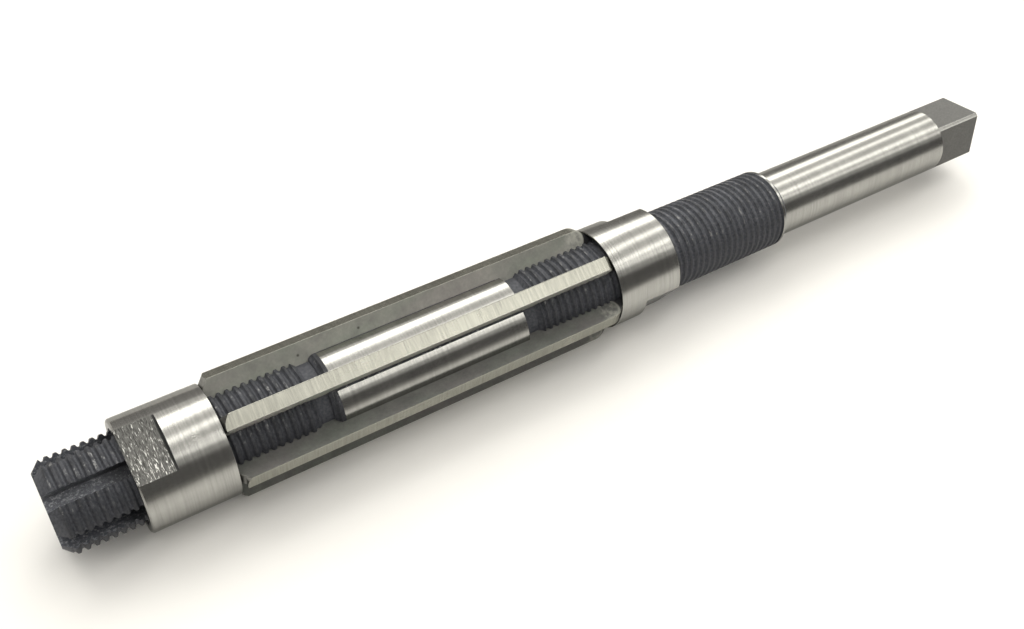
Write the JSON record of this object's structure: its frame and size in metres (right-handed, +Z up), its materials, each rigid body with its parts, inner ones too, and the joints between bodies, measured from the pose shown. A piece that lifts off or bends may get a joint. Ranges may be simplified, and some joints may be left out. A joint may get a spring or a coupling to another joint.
{
  "type": "adjustable hand reamer",
  "caption": "Adjustable hand reamer with inclined blade slots, sliding steel blades, clamping nuts, a plain shank and a driving square.",
  "frame": {"origin": "on the floor under the middle of the tool's length, as it rests on its two lowest blades", "axes": "+X along the axis from the tip to the driving square, +Z up"},
  "size_m": [0.18, 0.0196, 0.018],
  "materials": {
    "body_steel": "black oxide on threads and slots, ground bright on the land and shank",
    "nut_steel": "ground",
    "blade_steel": "ground"
  },
  "bodies": {
    "body": {"reamer_body": "body_steel"},
    "front_nut": {"front_nut": "nut_steel"},
    "rear_nut": {"rear_nut": "nut_steel"},
    "blade_1": {"blade_1": "blade_steel"},
    "blade_2": {"blade_2": "blade_steel"},
    "blade_3": {"blade_3": "blade_steel"},
    "blade_4": {"blade_4": "blade_steel"},
    "blade_5": {"blade_5": "blade_steel"},
    "blade_6": {"blade_6": "blade_steel"}
  },
  "joints": [
    {"name": "rear_nut_slide", "type": "slide", "parent": "body", "child": "rear_nut", "axis": [1, 0, 0], "range_m": [-0.0105, 0.013]},
    {"name": "front_nut_slide", "type": "slide", "parent": "body", "child": "front_nut", "axis": [1, 0, 0], "range_m": [-0.0098, 0.01213]},
    {"name": "blade_1_slide", "type": "slide", "parent": "body", "child": "blade_1", "axis": [0.9992, -0.0205, 0.0355], "range_m": [-0.01016, 0.01258]},
    {"name": "blade_2_slide", "type": "slide", "parent": "body", "child": "blade_2", "axis": [0.9992, -0.041, 0], "range_m": [-0.01016, 0.01258]},
    {"name": "blade_3_slide", "type": "slide", "parent": "body", "child": "blade_3", "axis": [0.9992, -0.0205, -0.0355], "range_m": [-0.01016, 0.01258]},
    {"name": "blade_4_slide", "type": "slide", "parent": "body", "child": "blade_4", "axis": [0.9992, 0.0205, -0.0355], "range_m": [-0.01016, 0.01258]},
    {"name": "blade_5_slide", "type": "slide", "parent": "body", "child": "blade_5", "axis": [0.9992, 0.041, 0], "range_m": [-0.01016, 0.01258]},
    {"name": "blade_6_slide", "type": "slide", "parent": "body", "child": "blade_6", "axis": [0.9992, 0.0205, 0.0355], "range_m": [-0.01016, 0.01258]}
  ],
  "couplings": [
    {"joint": "front_nut_slide", "follows": "rear_nut_slide", "ratio": 0.93342},
    {"joint": "blade_1_slide", "follows": "rear_nut_slide", "ratio": 0.96752},
    {"joint": "blade_2_slide", "follows": "rear_nut_slide", "ratio": 0.96752},
    {"joint": "blade_3_slide", "follows": "rear_nut_slide", "ratio": 0.96752},
    {"joint": "blade_4_slide", "follows": "rear_nut_slide", "ratio": 0.96752},
    {"joint": "blade_5_slide", "follows": "rear_nut_slide", "ratio": 0.96752},
    {"joint": "blade_6_slide", "follows": "rear_nut_slide", "ratio": 0.96752}
  ]
}
